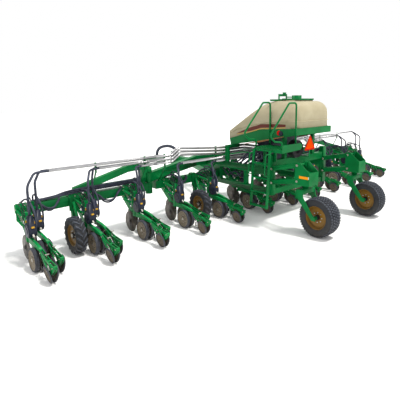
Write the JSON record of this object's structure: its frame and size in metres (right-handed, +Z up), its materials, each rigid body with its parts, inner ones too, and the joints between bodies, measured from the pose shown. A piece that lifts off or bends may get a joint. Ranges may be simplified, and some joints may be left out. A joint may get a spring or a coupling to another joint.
{
  "type": "folding precision planter",
  "caption": "Towed folding twin-row precision planter with bulk seed tank, swivelling rear casters, lift wheels, row units along a hinged three-section toolbar, and drawbar on a jack",
  "frame": {"origin": "on the floor, under the middle of the whole machine's bounding box", "axes": "+X to the machine's right across the toolbar, +Y forwards to the hitch, +Z up"},
  "size_m": [11.5716, 9.0149, 2.965],
  "materials": {
    "green_paint": "gloss frame green",
    "bright_green_paint": "brighter green",
    "rim_paint": "ochre-gold",
    "tyre_rubber": "matt black",
    "hose_rubber": "dark slate",
    "tank_plastic": "tan rotomoulded",
    "black_plastic": "black",
    "stainless": "satin",
    "disc_steel": "worn steel",
    "gauge_wheel": "beige-grey",
    "sign_paint": "orange-red",
    "black_paint": "black"
  },
  "bodies": {
    "machine": {"centre_toolbar": "green_paint", "centre_frame": "green_paint", "left_side_truss": "green_paint", "right_side_truss": "green_paint", "rear_cross_beams": "green_paint", "tongue": "green_paint", "tank": "tank_plastic", "tank_cradle": "green_paint", "tank_saddle": "green_paint", "tank_hopper": "black_plastic", "tank_rack": "green_paint", "fan": "black_paint", "warning_sign": "sign_paint", "sign_stem": "green_paint", "platform": "green_paint", "handrails": "green_paint", "caster_links": "green_paint", "caster_heads": "green_paint", "centre_lift_arms": "green_paint", "centre_row_frames": "bright_green_paint", "centre_row_meters": "black_plastic", "centre_row_discs": "disc_steel", "centre_row_wheels": "gauge_wheel", "centre_seed_pipes": "stainless", "centre_seed_hoses": "hose_rubber", "hose_bundle": "hose_rubber"},
    "tank_lid": {"tank_lid": "black_plastic"},
    "ladder": {"ladder": "green_paint"},
    "jack": {"jack_tube": "green_paint", "jack_leg": "green_paint"},
    "left_wing": {"left_wing_toolbar": "green_paint", "left_wing_lift_arm": "green_paint", "left_wing_row_frames": "bright_green_paint", "left_wing_row_meters": "black_plastic", "left_wing_row_discs": "disc_steel", "left_wing_row_wheels": "gauge_wheel", "left_wing_seed_pipes": "stainless", "left_wing_seed_hoses": "hose_rubber"},
    "left_wing_wheel": {"left_wing_lift_tyre": "tyre_rubber", "left_wing_lift_rim": "rim_paint"},
    "left_centre_wheel": {"left_centre_lift_tyre": "tyre_rubber", "left_centre_lift_rim": "rim_paint"},
    "left_caster": {"left_caster_fork": "green_paint"},
    "left_caster_wheel": {"left_caster_tyre": "tyre_rubber", "left_caster_rim": "rim_paint"},
    "right_wing": {"right_wing_toolbar": "green_paint", "right_wing_lift_arm": "green_paint", "right_wing_row_frames": "bright_green_paint", "right_wing_row_meters": "black_plastic", "right_wing_row_discs": "disc_steel", "right_wing_row_wheels": "gauge_wheel", "right_wing_seed_pipes": "stainless", "right_wing_seed_hoses": "hose_rubber"},
    "right_wing_wheel": {"right_wing_lift_tyre": "tyre_rubber", "right_wing_lift_rim": "rim_paint"},
    "right_centre_wheel": {"right_centre_lift_tyre": "tyre_rubber", "right_centre_lift_rim": "rim_paint"},
    "right_caster": {"right_caster_fork": "green_paint"},
    "right_caster_wheel": {"right_caster_tyre": "tyre_rubber", "right_caster_rim": "rim_paint"}
  },
  "joints": [
    {"name": "left_wing_fold", "type": "hinge", "parent": "machine", "child": "left_wing", "pos_m": [-3.048, -0.8525, 0.87], "axis": [0, 0, -1], "range_deg": [0, 90]},
    {"name": "left_wing_wheel_spin", "type": "hinge", "parent": "left_wing", "child": "left_wing_wheel", "pos_m": [-4.935, -1.3825, 0.345], "axis": [1, 0, 0], "continuous": true},
    {"name": "left_centre_wheel_spin", "type": "hinge", "parent": "machine", "child": "left_centre_wheel", "pos_m": [-1.985, -1.3825, 0.345], "axis": [1, 0, 0], "continuous": true},
    {"name": "left_caster_swivel", "type": "hinge", "parent": "machine", "child": "left_caster", "pos_m": [-1.02, -3.7225, 0.985], "axis": [0, 0, 1], "continuous": true},
    {"name": "left_caster_wheel_spin", "type": "hinge", "parent": "left_caster", "child": "left_caster_wheel", "pos_m": [-1.02, -4.0925, 0.415], "axis": [1, 0, 0], "continuous": true},
    {"name": "right_wing_fold", "type": "hinge", "parent": "machine", "child": "right_wing", "pos_m": [3.048, -0.8525, 0.87], "axis": [0, 0, 1], "range_deg": [0, 90]},
    {"name": "right_wing_wheel_spin", "type": "hinge", "parent": "right_wing", "child": "right_wing_wheel", "pos_m": [4.935, -1.3825, 0.345], "axis": [1, 0, 0], "continuous": true},
    {"name": "right_centre_wheel_spin", "type": "hinge", "parent": "machine", "child": "right_centre_wheel", "pos_m": [1.985, -1.3825, 0.345], "axis": [1, 0, 0], "continuous": true},
    {"name": "right_caster_swivel", "type": "hinge", "parent": "machine", "child": "right_caster", "pos_m": [1.02, -3.7225, 0.985], "axis": [0, 0, 1], "continuous": true},
    {"name": "right_caster_wheel_spin", "type": "hinge", "parent": "right_caster", "child": "right_caster_wheel", "pos_m": [1.02, -4.0925, 0.415], "axis": [1, 0, 0], "continuous": true},
    {"name": "tank_lid_hinge", "type": "hinge", "parent": "machine", "child": "tank_lid", "pos_m": [0, -2.4325, 2.802], "axis": [-1, 0, 0], "range_deg": [0, 85]},
    {"name": "ladder_hinge", "type": "hinge", "parent": "machine", "child": "ladder", "pos_m": [-1.292, -2.7595, 1.69], "axis": [0, 1, 0], "range_deg": [0, 110]},
    {"name": "jack_swivel", "type": "hinge", "parent": "machine", "child": "jack", "pos_m": [-0.23, 2.2975, 0.74], "axis": [1, 0, 0], "range_deg": [0, 90]}
  ]
}
